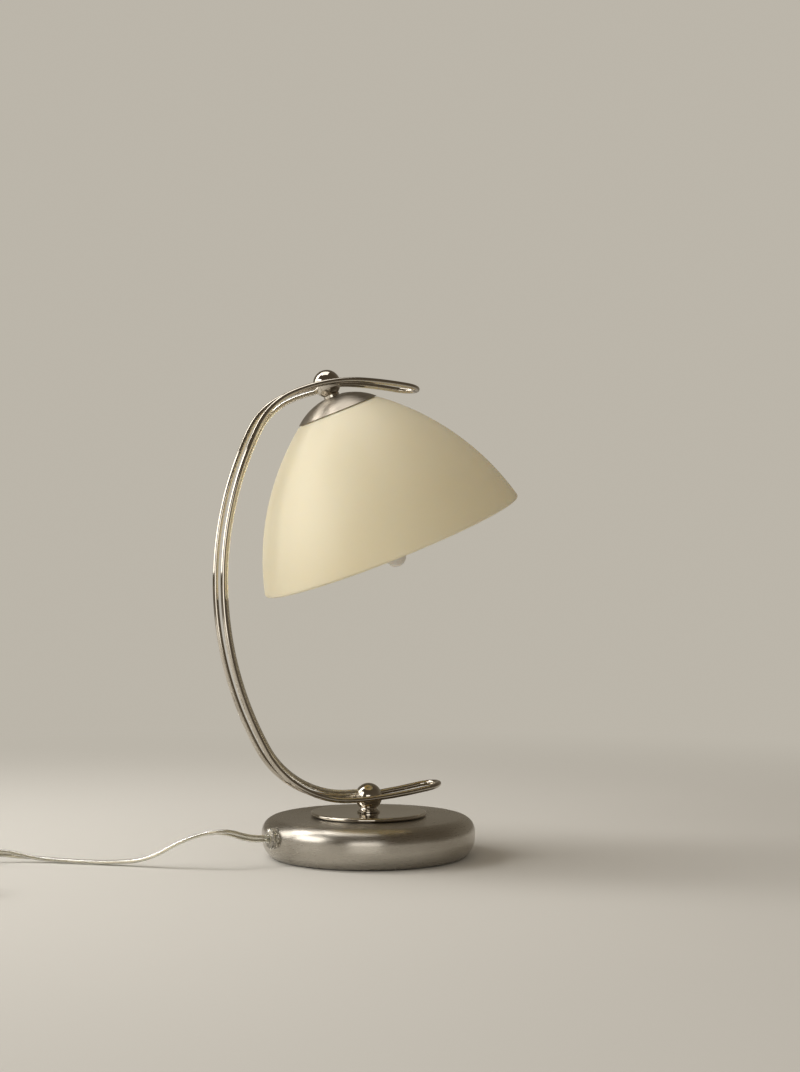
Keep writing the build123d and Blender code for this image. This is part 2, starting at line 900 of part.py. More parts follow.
def bushing_nut():
    corner = bushing_z + bushing_nut_across / sqrt(3) - (base_top - shoulder_r)
    far = base_r - shoulder_r + sqrt((shoulder_r - base_wall) ** 2 - corner**2) - fit
    return at_bushing(hex_nut(bushing_nut_across, bushing_neck_r + fit, far - bushing_nut_t, far))


def inner_cord():
    """The lead from the bushing's face to the terminal block."""
    bar = Plane(origin=(-bushing_face, 0, bushing_z), x_dir=(0, 0, 1), z_dir=(1, 0, 0))
    return round_base(extrude(bar * cord_section(), bushing_face + block_x - block_l / 2))


def cord_clamp():
    """A saddle on the weight that grips the lead, with its two screws."""
    inside_w = cord_t + 2 * fit
    inside_h = bushing_z + cord_w / 2 + fit - weight_top
    hump_h = inside_h + clamp_t
    saddle = Pos(0, 0, hump_h / 2) * Box(clamp_l, inside_w + 2 * clamp_t, hump_h)
    saddle += Pos(0, 0, clamp_t / 2) * Box(clamp_l, clamp_foot_w, clamp_t)
    for side in (-1, 1):
        screw = rod(clamp_screw_r, 0, clamp_t + clamp_screw_h)
        saddle += Pos(0, side * clamp_screw_y, 0) * screw
    saddle -= Pos(0, 0, inside_h / 2) * Box(2 * clamp_l, inside_w, inside_h)
    return round_base(Pos(clamp_x, 0, weight_top) * saddle)


def terminal_block():
    block = Pos(block_x, 0, block_z) * Box(block_l, block_w, block_h)
    block = fillet(block.edges().filter_by(Axis.Z), block_round)
    top = weight_top + block_h
    hole = rod(block_hole_r, top - block_hole_depth, top)
    for side in (-1, 1):
        for end in (-1, 1):
            block -= Pos(block_x + end * block_l / 4, side * block_pitch / 2, 0) * hole
    return round_base(block)


# Cord switch


def switch_outline(inset):
    """The switch's plan, waisted to its cord ends and drawn in by inset."""
    x, w, e = switch_l / 2 - inset, switch_w / 2 - inset, switch_end_w / 2 - inset
    flat = switch_l / 2 - switch_taper
    corners = [(x, e), (flat, w), (-flat, w), (-x, e), (-x, -e), (-flat, -w), (flat, -w), (x, -e)]
    face = make_face(Polyline(*corners, close=True))
    return fillet(face.vertices(), switch_corner_r)


def switch_half(low, high, closed_at):
    """One half of the switch's case, open on the side away from closed_at."""
    solid = Pos(0, 0, low) * extrude(switch_outline(0), high - low)
    edge = solid.edges().group_by(Axis.Z)[0 if closed_at == low else -1]
    solid = fillet(edge, switch_edge_r)
    inner_low = low + (switch_wall if closed_at == low else 0)
    inner_high = high - (switch_wall if closed_at == high else 0)
    solid -= Pos(0, 0, inner_low) * extrude(switch_outline(switch_wall), inner_high - inner_low)
    entry = Box(2 * switch_l, cord_t + 2 * loose, cord_w + 2 * loose)
    return solid - Pos(0, 0, switch_entry_z) * entry


def switch_base():
    solid = switch_half(0, switch_split, 0)
    cradle = Box(cradle_l, switch_w - 2 * switch_wall, cradle_h)
    for side in (-1, 1):
        solid += Pos(side * cradle_x, 0, switch_wall + cradle_h / 2) * cradle
    return solid


def switch_lid():
    solid = switch_half(switch_split, switch_h, switch_h)
    window = Box(rocker_l + 4 * loose, rocker_w + 2 * loose, 4 * switch_wall)
    solid -= Pos(0, 0, switch_h) * window
    low = rocker_z - ear_below
    high = switch_h - switch_wall / 2
    ear = Pos(0, 0, (low + high) / 2) * Box(ear_l, ear_t, high - low)
    for side in (-1, 1):
        solid += Pos(0, side * (rocker_w / 2 + slip + ear_t / 2), 0) * ear
    pin = Rot(90, 0, 0) * Cylinder(rocker_pin_r + fit, switch_w - 4 * switch_wall)
    return solid - Pos(0, 0, rocker_z) * pin


def switch_rocker():
    """The rocker, leaning as it does when the lamp is off."""
    top = switch_h + rocker_rise - rocker_z
    half = rocker_l / 2
    keel = half - rocker_flare
    outline = [
        Line((-half, top), (-keel, -rocker_keel)),
        Line((-keel, -rocker_keel), (keel, -rocker_keel)),
        Line((keel, -rocker_keel), (half, top)),
        ThreePointArc((half, top), (0, top - rocker_hollow), (-half, top)),
    ]
    body = extrude(Plane.XZ * make_face(outline), rocker_w / 2, both=True)
    pin_l = rocker_w + 2 * (slip + rocker_pin_grip)
    pin = Rot(90, 0, 0) * Cylinder(rocker_pin_r, pin_l)
    return Pos(0, 0, rocker_z) * Rot(0, rocker_rest, 0) * (body + pin)


def switch_contacts():
    """Two strips along the case that carry the two cores past the rocker."""
    strip = Box(2 * cradle_x, strip_w, strip_t)
    height = switch_wall + cradle_h + strip_t / 2
    return [Pos(0, side * strip_y, height) * strip for side in (-1, 1)]


def placed_switch(shapes):
    return [Pos(switch_x, switch_y, 0) * shape for shape in as_list(shapes)]


# Coil


def coil_edges():
    """The coil's route: half turns that draw in, one that climbs, and half turns that open out.

    The half turns beside the one that climbs step by a whole pitch, so that it passes clear.
    """
    rise = cord_w + coil_gap
    top = coil_z + rise
    inward, outward = coil_radii()
    sign = -1
    edges = [Line((-coil_r, cord_w, coil_z), (-coil_r, 0, coil_z))]
    for radius, next_radius in zip(inward, inward[1:]):
        edges.append(half_turn(sign, radius, next_radius, coil_z))
        sign = -sign
    edges += climbing_turn(sign, inward[-1], coil_z, rise)
    sign = -sign
    for radius, next_radius in zip(outward, outward[1:]):
        edges.append(half_turn(sign, radius, next_radius, top))
        sign = -sign
    last = sign * outward[-1]
    edges.append(Line((last, 0, top), (last, -cord_w, top)))
    return [Pos(coil_x, coil_y, 0) * edge for edge in edges]


def coil_radii():
    """The radii at the ends of the half turns, of the lower layer and then of the upper one."""
    pitch = cord_t + coil_gap
    inward = [coil_r - pitch / 2 * turn for turn in range(coil_in_turns)]
    inward.append(inward[-1] - pitch)
    outward = [inward[-1], inward[-2]]
    outward += [inward[-2] + pitch / 2 * turn for turn in range(1, coil_out_turns)]
    return inward, outward


def half_turn(sign, radius, next_radius, height):
    """Half a turn about the coil's middle, counter-clockwise from above."""
    middle_x = sign * (radius - next_radius) / 2
    reach = (radius + next_radius) / 2
    return ThreePointArc(
        (sign * radius, 0, height),
        (middle_x, sign * reach, height),
        (-sign * next_radius, 0, height),
    )


def climbing_turn(sign, radius, low, rise):
    """Half a turn that climbs one layer, as two arcs that meet at its middle."""
    middle = (0, sign * hypot(radius, rise / 2), low + rise / 2)
    first = TangentArc((sign * radius, 0, low), middle, tangent=(0, sign, 0))
    end = (-sign * radius, 0, low + rise)
    second = TangentArc(middle, end, tangent=first % 1)
    return [first, second]


def coil_least_gap(path):
    """The least gap between two stretches of the coil, measured on points of its route."""
    step = 2.0
    count = int(path.length / step)
    points = [path @ (i / count) for i in range(count + 1)]
    apart = int(4 * cord_w / step)
    gaps = []
    for i, p in enumerate(points):
        for q in points[i + apart :]:
            flat = hypot(p.X - q.X, p.Y - q.Y) - cord_t
            tall = abs(p.Z - q.Z) - cord_w
            gaps.append(max(flat, tall))
    return min(gaps)


def cord_coil():
    path = Wire(coil_edges())
    solid = cord_along(path)
    share = solid.volume / (cord_section().area * path.length)
    print("coil length", round(path.length, 1), "volume over section times length", round(share, 4))
    print("coil least gap to itself", round(coil_least_gap(path), 2))
    return solid


def corners_between(start, end, corners):
    """A route's points from start to end, with its corners' shares worked out in X and Y."""
    inner = []
    for share_x, share_y, height in corners:
        x = start[0] + (end[0] - start[0]) * share_x
        y = start[1] + (end[1] - start[1]) * share_y
        inner.append((x, y, height))
    return [start, *inner, end]


def lead_points():
    """The route from the bushing to the switch."""
    way = (-cos(radians(bushing_turn)), -sin(radians(bushing_turn)))
    straight = bushing_face + lead_straight
    start = (bushing_face * way[0], bushing_face * way[1], bushing_z)
    end = (switch_x + switch_l / 2 - cord_grip, switch_y, switch_entry_z)
    points = corners_between(start, end, lead_corners)
    return [start, (straight * way[0], straight * way[1], bushing_z), *points[1:]]


def link_points():
    """The route from the switch to the coil."""
    start = (switch_x - switch_l / 2 + cord_grip, switch_y, switch_entry_z)
    return corners_between(start, (coil_x - coil_r, coil_y + cord_w, coil_z), link_corners)


def tail_points():
    """The route from the coil's outer end to the plug."""
    start = (coil_x - coil_radii()[1][-1], coil_y - cord_w, tail_top_z)
    return corners_between(start, (plug_x - relief_l + relief_grip, plug_y, plug_z), tail_corners)


def coil_tie():
    """A strap round the bundle of turns, with room for their curve inside it."""
    inner_turn = coil_radii()[0][-1] - cord_t / 2
    inner_r = sqrt(inner_turn**2 - (tie_w / 2) ** 2)
    outer_r = coil_r + cord_t / 2
    high = coil_z + cord_w + coil_gap + cord_w / 2
    low = coil_z - cord_w / 2
    middle = Pos(coil_x + (inner_r + outer_r) / 2, coil_y, (low + high) / 2)
    room = (outer_r - inner_r + 2 * loose, tie_w, high - low + 2 * loose)
    shell = Box(room[0] + 2 * tie_t, tie_w, room[2] + 2 * tie_t)
    shell = fillet(shell.edges().filter_by(Axis.Y), tie_corner_r)
    return middle * (shell - Box(room[0], 2 * tie_w, room[2]))


# Plug


def plug_body():
    """A moulded flat plug, thin between the pins and narrowed where the cord goes in."""
    nose = plug_x + plug_l
    waist = plug_x + plug_tail_l
    corners = [
        (plug_x, plug_tail_w / 2),
        (waist, plug_tail_w / 2),
        (waist + plug_flare_l, plug_w / 2),
        (nose, plug_w / 2),
    ]
    corners += [(x, -y) for x, y in reversed(corners)]
    face = make_face(Polyline(*corners, close=True))
    face = fillet(face.vertices().sort_by(Axis.X)[2:], plug_corner_r)
    solid = Pos(0, plug_y, 0) * extrude(face, plug_t)
    layers = solid.edges().group_by(Axis.Z)
    solid = fillet(layers[0] + layers[-1], plug_edge_r) + plug_relief()
    for side in (-1, 1):
        solid -= plug_pin(side)
    return solid


def plug_relief():
    """The tapered sleeve with grooves that keeps the cord from kinking where it goes in."""
    root = relief_l + plug_edge_r
    cone = Pos(0, 0, root / 2) * Cone(relief_r, relief_root_r, root)
    for groove in range(relief_grooves):
        low = relief_groove_w * (2 * groove + 1)
        floor_r = relief_r + (relief_root_r - relief_r) * low / root - relief_groove_depth
        cone -= washer(floor_r, 2 * relief_root_r, low, low + relief_groove_w)
    cone -= Box(cord_w + 2 * relief_gap, cord_t + 2 * relief_gap, 2 * (relief_grip + fit))
    return Pos(plug_x - relief_l, plug_y, plug_z) * Rot(0, 90, 0) * cone


def plug_pin(side):
    """One round pin with its root inside the plug."""
    pin = Cylinder(plug_pin_r, plug_pin_l + plug_pin_root)
    pin = fillet(pin.edges().sort_by(Axis.Z)[-1], plug_pin_tip_r)
    x = plug_x + plug_l + (plug_pin_l - plug_pin_root) / 2
    return Pos(x, plug_y + side * plug_pin_pitch / 2, plug_z) * Rot(0, 90, 0) * pin


def as_list(shapes):
    return shapes if isinstance(shapes, list) else [shapes]


def write(name, shapes):
    solids = [solid for shape in as_list(shapes) for solid in shape.solids()]
    whole = solids[0] if len(solids) == 1 else Compound(children=solids)
    whole.label = name
    export_step(whole, os.path.join("parts", name + ".step"))


def write_base():
    write("base_shell", base_shell())
    write("base_posts", base_posts())
    write("base_weight", base_weight())
    write("base_cover", base_cover())
    write("cover_screws", cover_screws())
    write("base_pad", base_pad())
    write("trim_disc", trim_disc())
    write("friction_washer", friction_washer())
    write("cord_bushing", cord_bushing())
    write("bushing_nut", bushing_nut())
    write("inner_cord", inner_cord())
    write("cord_clamp", cord_clamp())
    write("terminal_block", terminal_block())


def write_arm():
    rods = arc_rods()
    write("arc_rods", rods)
    write("arm_pins", arm_pins(rods))
    write("arc_cable", arc_cable())
    write("lower_ball", lower_ball_part())
    write("swivel_foot", swivel_foot())
    write("swivel_stem", swivel_stem())
    write("spring_washer", spring_washer())
    write("stem_nut", stem_nut())
    write("stem_wires", stem_wires())


def write_head():
    centre = Pos(upper_ball[0], 0, upper_ball[1])
    write("upper_ball", centre * upper_ball_part())
    for piece in (
        neck_collar,
        head_nipple,
        shade_cap,
        cap_nut,
        lampholder_cap,
        shade_gasket,
        glass_shade,
        shade_ring,
        lampholder_body,
        socket_core,
        thread_sleeve,
        centre_contact,
        head_wires,
        bulb_cap,
        bulb_glass,
        bulb_stem,
    ):
        shapes = [centre * Rot(0, -shade_tilt, 0) * shape for shape in as_list(piece())]
        write(piece.__name__, shapes)


def write_cord():
    write("cord_lead", free_cord("lead", lead_points()))
    write("cord_link", free_cord("link", link_points()))
    write("cord_tail", free_cord("tail", tail_points()))
    write("cord_coil", cord_coil())
    write("coil_tie", coil_tie())
    write("switch_base", placed_switch(switch_base()))
    write("switch_lid", placed_switch(switch_lid()))
    write("switch_contacts", placed_switch(switch_contacts()))
    write("switch_rocker", placed_switch(switch_rocker()))
    write("plug_body", plug_body())
    write("plug_pins", [plug_pin(-1), plug_pin(1)])


os.makedirs("parts", exist_ok=True)
write_base()
write_arm()
write_head()
write_cord()
print("upper ball at", [round(v, 2) for v in upper_ball], "rod heading there", upper_heading)
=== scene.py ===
import json
from math import acos, asin, atan2, cos, degrees, hypot, pi, radians, sin, sqrt

import bpy
from mathutils import Matrix, Vector


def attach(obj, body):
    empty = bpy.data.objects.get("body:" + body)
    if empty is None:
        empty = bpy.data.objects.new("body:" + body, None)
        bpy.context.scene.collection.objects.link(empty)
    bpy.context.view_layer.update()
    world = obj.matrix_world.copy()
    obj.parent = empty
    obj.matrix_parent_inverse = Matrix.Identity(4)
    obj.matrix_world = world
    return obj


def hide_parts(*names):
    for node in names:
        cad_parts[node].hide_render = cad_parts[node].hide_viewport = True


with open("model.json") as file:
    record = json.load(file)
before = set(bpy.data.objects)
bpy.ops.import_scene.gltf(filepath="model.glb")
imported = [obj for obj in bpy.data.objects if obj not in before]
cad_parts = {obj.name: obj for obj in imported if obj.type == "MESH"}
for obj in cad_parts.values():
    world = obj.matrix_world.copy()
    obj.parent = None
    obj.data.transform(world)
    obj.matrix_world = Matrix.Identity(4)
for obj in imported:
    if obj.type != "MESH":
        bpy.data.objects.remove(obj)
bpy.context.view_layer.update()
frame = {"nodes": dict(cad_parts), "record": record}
scene = bpy.context.scene
scene.view_settings.view_transform = "Standard"

# Arc table lamp. Shapes are in millimetres, in the CAD model's frame: the origin is on the table under
# the middle of the base, +Z is up, and the arc lies in the XZ plane with its back at -X.
MM = 0.001

# Camera, in metres and degrees: level, with the picture's middle lifted a little
CAMERA_PLACE = (-0.37045, -1.11527, 0.1873)
CAMERA_LEVEL = 90.0
CAMERA_TURN = -19.5
CAMERA_LENS = 53.73
CAMERA_FILM = 36.0
CAMERA_SHIFT = 0.0597
CAMERA_NEAR = 0.01


def make_camera():
    """The camera, at the photograph's viewing angle."""
    data = bpy.data.cameras.new("camera")
    data.lens = CAMERA_LENS
    data.sensor_width = CAMERA_FILM
    data.shift_y = CAMERA_SHIFT
    data.clip_start = CAMERA_NEAR
    camera = bpy.data.objects.new("camera", data)
    camera.location = CAMERA_PLACE
    camera.rotation_euler = (radians(CAMERA_LEVEL), 0, radians(CAMERA_TURN))
    scene.collection.objects.link(camera)
    scene.camera = camera


make_camera()


# Nodes

def feed(tree, node, inputs):
    """Sets a node's inputs, by name or number, or links them to the output of another node."""
    for key, value in inputs.items():
        socket = node.inputs[key]
        if isinstance(value, bpy.types.NodeSocket):
            tree.links.new(value, socket)
        else:
            socket.default_value = value


def add(tree, kind, inputs=None, **settings):
    """A new node with its settings made and its inputs fed."""
    node = tree.nodes.new(kind)
    for key, value in settings.items():
        setattr(node, key, value)
    feed(tree, node, inputs or {})
    return node


def math_node(tree, operation, *values):
    return add(tree, "ShaderNodeMath", dict(enumerate(values)), operation=operation).outputs[0]


def place(tree):
    """Object coordinates, in metres: the lamp's own, or the head's upright ones where a piece is tilted."""
    return add(tree, "ShaderNodeTexCoord").outputs["Object"]


def noise(tree, vector, scale, detail=3.0, roughness=0.5):
    inputs = {"Vector": vector, "Scale": scale, "Detail": detail, "Roughness": roughness}
    return add(tree, "ShaderNodeTexNoise", inputs).outputs["Fac"]


def remap(tree, value, from_range, to_range, **settings):
    """A value carried from one range to another, and held at its ends."""
    inputs = {
        "Value": value,
        "From Min": from_range[0],
        "From Max": from_range[1],
        "To Min": to_range[0],
        "To Max": to_range[1],
    }
    return add(tree, "ShaderNodeMapRange", inputs, **settings).outputs["Result"]


NOISE_RANGE = (0.3, 0.7)  # where nearly all values of a noise lie


def spread(tree, value, low, high):
    """A noise stretched over a range."""
    return remap(tree, value, NOISE_RANGE, (low, high))


def tint(tree, value, dark, light):
    """A colour between two, by a noise."""
    node = add(tree, "ShaderNodeValToRGB", {"Fac": value})
    for element, colour, position in zip(node.color_ramp.elements, (dark, light), NOISE_RANGE):
        element.color = (*colour, 1)
        element.position = position
    return node.outputs["Color"]


def bump(tree, height, strength, distance):
    inputs = {"Height": height, "Strength": strength, "Distance": distance}
    return add(tree, "ShaderNodeBump", inputs).outputs["Normal"]


# Materials. Colours are given as the darkest and lightest that the surface shows, and rough as a range.

MATERIALS = {}


def new_material(name):
    """The node tree and Principled shader of a new material, which MATERIALS keeps."""
    material = bpy.data.materials.new(name)
    material.use_nodes = True
    MATERIALS[name] = material
    return material.node_tree, material.node_tree.nodes["Principled BSDF"]


MARKS_ROUND = 0.003  # how fast turning marks change round the axis
MARKS_ALONG = 1.3  # how fast they change with height, where 1 is how fast they change with radius
AXIS_R = 0.0005  # the least radius, in metres, which keeps the division below safe on the axis


def round_the_axis(tree):
    """Coordinates that follow the turning marks of a spun piece: slow round the axis, fast along it."""
    x, y, z = add(tree, "ShaderNodeSeparateXYZ", {"Vector": place(tree)}).outputs
    squares = math_node(tree, "ADD", math_node(tree, "MULTIPLY", x, x), math_node(tree, "MULTIPLY", y, y))
    radius = math_node(tree, "MAXIMUM", math_node(tree, "SQRT", squares), AXIS_R)
    across = [
        math_node(tree, "MULTIPLY", math_node(tree, "DIVIDE", value, radius), MARKS_ROUND)
        for value in (x, y)
    ]
    along = math_node(tree, "SUBTRACT", radius, math_node(tree, "MULTIPLY", z, MARKS_ALONG))
    return add(tree, "ShaderNodeCombineXYZ", {0: across[0], 1: across[1], 2: along}).outputs[0]


def spun_steel(name, dark, light, rough):
    """Satin steel with fine marks round its axis, and a highlight that fans out from the axis."""
    tree, shader = new_material(name)
    marks = noise(tree, round_the_axis(tree), scale=2600.0, detail=4.0, roughness=0.65)
    cloud = noise(tree, place(tree), scale=18.0)
    uneven = spread(tree, cloud, low=0.0, high=0.04)
    feed(tree, shader, {
        "Base Color": tint(tree, cloud, dark, light),
        "Roughness": math_node(tree, "ADD", spread(tree, marks, *rough), uneven),
        "Tangent": add(tree, "ShaderNodeTangent", direction_type="RADIAL", axis="Z").outputs[0],
        "Normal": bump(tree, marks, strength=0.06, distance=0.00012),
        "Metallic": 1.0,
        "Anisotropic": 0.6,
        "Anisotropic Rotation": 0.25,
    })


def polished_steel(name, dark, light, rough):
    """Mirror-polished steel with faint smears and hairlines."""
    tree, shader = new_material(name)
    smear = noise(tree, place(tree), scale=60.0, detail=4.0)
    hairs = noise(tree, place(tree), scale=900.0, detail=2.0)
    feed(tree, shader, {
        "Base Color": tint(tree, smear, dark, light),
        "Roughness": spread(tree, smear, *rough),
        "Normal": bump(tree, hairs, strength=0.006, distance=0.00005),
        "Metallic": 1.0,
    })


FINE = 12  # how much finer the grain of a plain surface is than its mottle


def plain(name, dark, light, rough, scale=120.0, grain=0.05, metallic=0.0):
    """Moulded, cast or plated surface: a fine mottle in its colour, gloss and relief."""
    tree, shader = new_material(name)
    mottle = noise(tree, place(tree), scale=scale, detail=5.0, roughness=0.6)
    fine = noise(tree, place(tree), scale=scale * FINE, detail=2.0)
    feed(tree, shader, {
        "Base Color": tint(tree, mottle, dark, light),
        "Roughness": spread(tree, fine, *rough),
        "Normal": bump(tree, fine, strength=grain, distance=0.0001),
        "Metallic": metallic,
    })


def clear(name, dark, light, rough, let_through):
    """Clear soft plastic with a faint haze."""
    tree, shader = new_material(name)
    haze = noise(tree, place(tree), scale=150.0, detail=4.0)
    feed(tree, shader, {
        "Base Color": tint(tree, haze, dark, light),
        "Roughness": spread(tree, haze, *rough),
        "Normal": bump(tree, haze, strength=0.01, distance=0.0001),
        "Transmission Weight": let_through,
        "IOR": 1.46,
    })


def opal(name, dark, light, rough, depth):
    """Frosted opal glass: light spreads inside it, and its skin has a fine etched grain."""
    tree, shader = new_material(name)
    cloud = noise(tree, place(tree), scale=7.0, detail=2.0)
    etch = noise(tree, place(tree), scale=1400.0, detail=3.0)
    feed(tree, shader, {
        "Base Color": tint(tree, cloud, dark, light),
        "Roughness": spread(tree, etch, *rough),
        "Normal": bump(tree, etch, strength=0.05, distance=0.00006),
        "Subsurface Weight": 0.55,
        "Subsurface Radius": (1.0, 0.82, 0.6),
        "Subsurface Scale": depth,
        "IOR": 1.5,
    })


# Metals
spun_steel("shell_steel", (0.47, 0.44, 0.39), (0.56, 0.53, 0.48), rough=(0.22, 0.34))
spun_steel("cap_steel", (0.37, 0.33, 0.28), (0.47, 0.43, 0.37), rough=(0.26, 0.40))
polished_steel("polished_steel", (0.52, 0.48, 0.42), (0.62, 0.58, 0.51), rough=(0.04, 0.10))
plain(
    "zinc_steel", (0.50, 0.50, 0.49), (0.62, 0.62, 0.60), rough=(0.32, 0.45),
    scale=90.0, metallic=1.0,
)
plain(
    "brass", (0.62, 0.46, 0.18), (0.75, 0.58, 0.26), rough=(0.2, 0.35),
    scale=90.0, metallic=1.0,
)
plain(
    "plated_brass", (0.62, 0.60, 0.57), (0.72, 0.70, 0.67), rough=(0.15, 0.28),
    scale=90.0, grain=0.04, metallic=1.0,
)
plain(
    "tinned_core", (0.58, 0.53, 0.44), (0.68, 0.63, 0.54), rough=(0.25, 0.35),
    scale=60.0, grain=0.02, metallic=1.0,
)
plain("weight_iron", (0.02, 0.02, 0.022), (0.04, 0.04, 0.043), rough=(0.5, 0.7), scale=60.0, grain=0.3)

# Clear plastic and glass
clear("clear_cord", (0.74, 0.72, 0.60), (0.86, 0.85, 0.76), rough=(0.10, 0.22), let_through=0.85)
clear("arc_cord", (0.66, 0.60, 0.46), (0.78, 0.73, 0.60), rough=(0.10, 0.20), let_through=0.88)
clear("clear_plastic", (0.70, 0.67, 0.60), (0.82, 0.80, 0.74), rough=(0.06, 0.14), let_through=0.85)
opal("opal_glass", (0.80, 0.70, 0.50), (0.86, 0.77, 0.58), rough=(0.36, 0.5), depth=0.012)
opal("bulb_glass", (0.76, 0.73, 0.66), (0.81, 0.78, 0.72), rough=(0.22, 0.32), depth=0.004)

# Plastics, ceramic, rubber and foam
plain("foam_pad", (0.018, 0.018, 0.02), (0.035, 0.035, 0.037), rough=(0.8, 0.95), scale=300.0, grain=0.5)
plain("nylon", (0.72, 0.70, 0.66), (0.80, 0.78, 0.74), rough=(0.35, 0.5))
plain("holder_plastic", (0.70, 0.68, 0.63), (0.78, 0.76, 0.71), rough=(0.35, 0.5))
plain("ceramic", (0.76, 0.74, 0.69), (0.83, 0.81, 0.76), rough=(0.15, 0.25))
plain("silicone", (0.70, 0.70, 0.67), (0.78, 0.78, 0.75), rough=(0.45, 0.6))
plain(
    "white_plastic", (0.765, 0.745, 0.705), (0.785, 0.765, 0.725), rough=(0.22, 0.32),
    scale=40.0, grain=0.03,
)
plain("tie_plastic", (0.02, 0.02, 0.02), (0.035, 0.035, 0.035), rough=(0.35, 0.5))
plain("terminal_plastic", (0.66, 0.64, 0.58), (0.74, 0.72, 0.66), rough=(0.3, 0.45))
plain("core_insulation", (0.55, 0.53, 0.49), (0.64, 0.62, 0.58), rough=(0.3, 0.45))


def dress_nodes():
    """Gives each CAD node the material of its slot."""
    slot_of = {row["node"]: row["material_slot"] for row in frame["record"]["subparts"]}
    for name, node in frame["nodes"].items():
        node.data.materials.clear()
        node.data.materials.append(MATERIALS[slot_of[name]])


dress_nodes()


# Meshes

def piece(name, shape, material, body, replaced=(), matrix=None, sharp=35, still=False):
    """A smooth mesh piece, given in millimetres, that rides on a body.

    The matrix places the piece; with still set, it moves the mesh and not the object.
    """
    vertices, faces = shape
    mesh = bpy.data.meshes.new(name)
    mesh.from_pydata([Vector(v) * MM for v in vertices], [], faces)
    mesh.update()
    mesh.polygons.foreach_set("use_smooth", [True] * len(mesh.polygons))
    mesh.set_sharp_from_angle(angle=radians(sharp))
    mesh.materials.append(MATERIALS[material])
    thing = bpy.data.objects.new(name, mesh)
    scene.collection.objects.link(thing)
    if still:
        mesh.transform(matrix)
    elif matrix is not None:
        thing.matrix_world = matrix
    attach(thing, body)
    if replaced:
        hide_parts(*replaced)
    return thing


ON_AXIS = 1e-6  # a smaller radius is a point on the axis


def lathe(outline, steps):
    """Vertices and faces of a closed outline of (radius, height) turned about Z."""
    vertices, faces, rings = [], [], []
    for r, z in outline:
        if r < ON_AXIS:
            rings.append([len(vertices)] * steps)
            vertices.append((0, 0, z))
            continue
        rings.append(list(range(len(vertices), len(vertices) + steps)))
        for i in range(steps):
            turn = 2 * pi * i / steps
            vertices.append((r * cos(turn), r * sin(turn), z))
    for ring, after in zip(rings, rings[1:] + rings[:1]):
        for i in range(steps):
            j = (i + 1) % steps
            corners = list(dict.fromkeys((ring[i], ring[j], after[j], after[i])))
            if len(corners) > 2:
                faces.append(corners)
    return vertices, faces


def bend(cx, cz, radius, start, end, steps):
    """Points on an arc, by angles in degrees."""
    turns = [radians(start + (end - start) * i / steps) for i in range(steps + 1)]
    return [(cx + radius * cos(t), cz + radius * sin(t)) for t in turns]


def round_section(radius, sides):
    return [(radius * cos(2 * pi * k / sides), radius * sin(2 * pi * k / sides)) for k in range(sides)]


def skin(rings, sides, closed):
    """Faces between rings of vertices, and over both ends of a tube that isn't closed."""
    faces = []
    for i in range(rings if closed else rings - 1):
        first = i * sides
        second = (i + 1) % rings * sides
        for k in range(sides):
            m = (k + 1) % sides
            faces.append((first + k, first + m, second + m, second + k))
    if not closed:
        faces.append(tuple(reversed(range(sides))))
        faces.append(tuple(range((rings - 1) * sides, rings * sides)))
    return faces


def tube(points, section, up=Vector((0, 0, 1)), twist=None):
    """A section of (across, along up) carried along points, and turned by twist at a share of the way."""
    last = len(points) - 1
    vertices = []
    for i, p in enumerate(points):
        way = (Vector(points[min(i + 1, last)]) - Vector(points[max(i - 1, 0)])).normalized()
        side = way.cross(up).normalized()
        lift = side.cross(way)
        turn = twist(i / last) if twist else 0.0
        across = side * cos(turn) + lift * sin(turn)
        along = lift * cos(turn) - side * sin(turn)
        vertices += [Vector(p) + across * a + along * b for a, b in section]
    return vertices, skin(len(points), len(section), closed=False)


# Base: pressed bun, trim disc and swivel foot
BASE_R = 78.2
BASE_TOP = 29.0
BASE_WALL = 1.5
SHOULDER_R = 11.0
BELLY_R = 17.0
BELLY_Z = 14.5
RIM_Z = 0.9
STEM_HOLE_R = 5.05
FLAT_RINGS = (55.2, 43.0)  # extra rings of vertices on the flat top, for even shading


def bun_side(inset):
    """The base's side from its rim to its flat top, drawn in by inset."""
    low = degrees(asin((RIM_Z - BELLY_Z) / (BELLY_R - inset)))
    belly = bend(BASE_R - BELLY_R, BELLY_Z, BELLY_R - inset, low, 0, steps=20)
    return belly + bend(BASE_R - SHOULDER_R, BASE_TOP - SHOULDER_R, SHOULDER_R - inset, 0, 90, steps=24)


def base_bun():
    outer = bun_side(0) + [(r, BASE_TOP) for r in (*FLAT_RINGS, STEM_HOLE_R)]
    inner = bun_side(BASE_WALL) + [(STEM_HOLE_R, BASE_TOP - BASE_WALL)]
    shape = lathe(outer + inner[::-1], steps=192)
    piece("base_bun", shape, "shell_steel", "base", replaced=["base_shell"])


DISC_R = 42.5
DISC_FLAT_R = 33.0
DISC_T = 1.2
DISC_LIFT = 0.6  # how far its edge stands above its flat middle
DISC_BEAD_R = 1.4
DISC_BEAD_LOW = -160.0  # the angle at which the bead of its edge begins
BOSS_R = 30.0
BOSS_H = 1.5


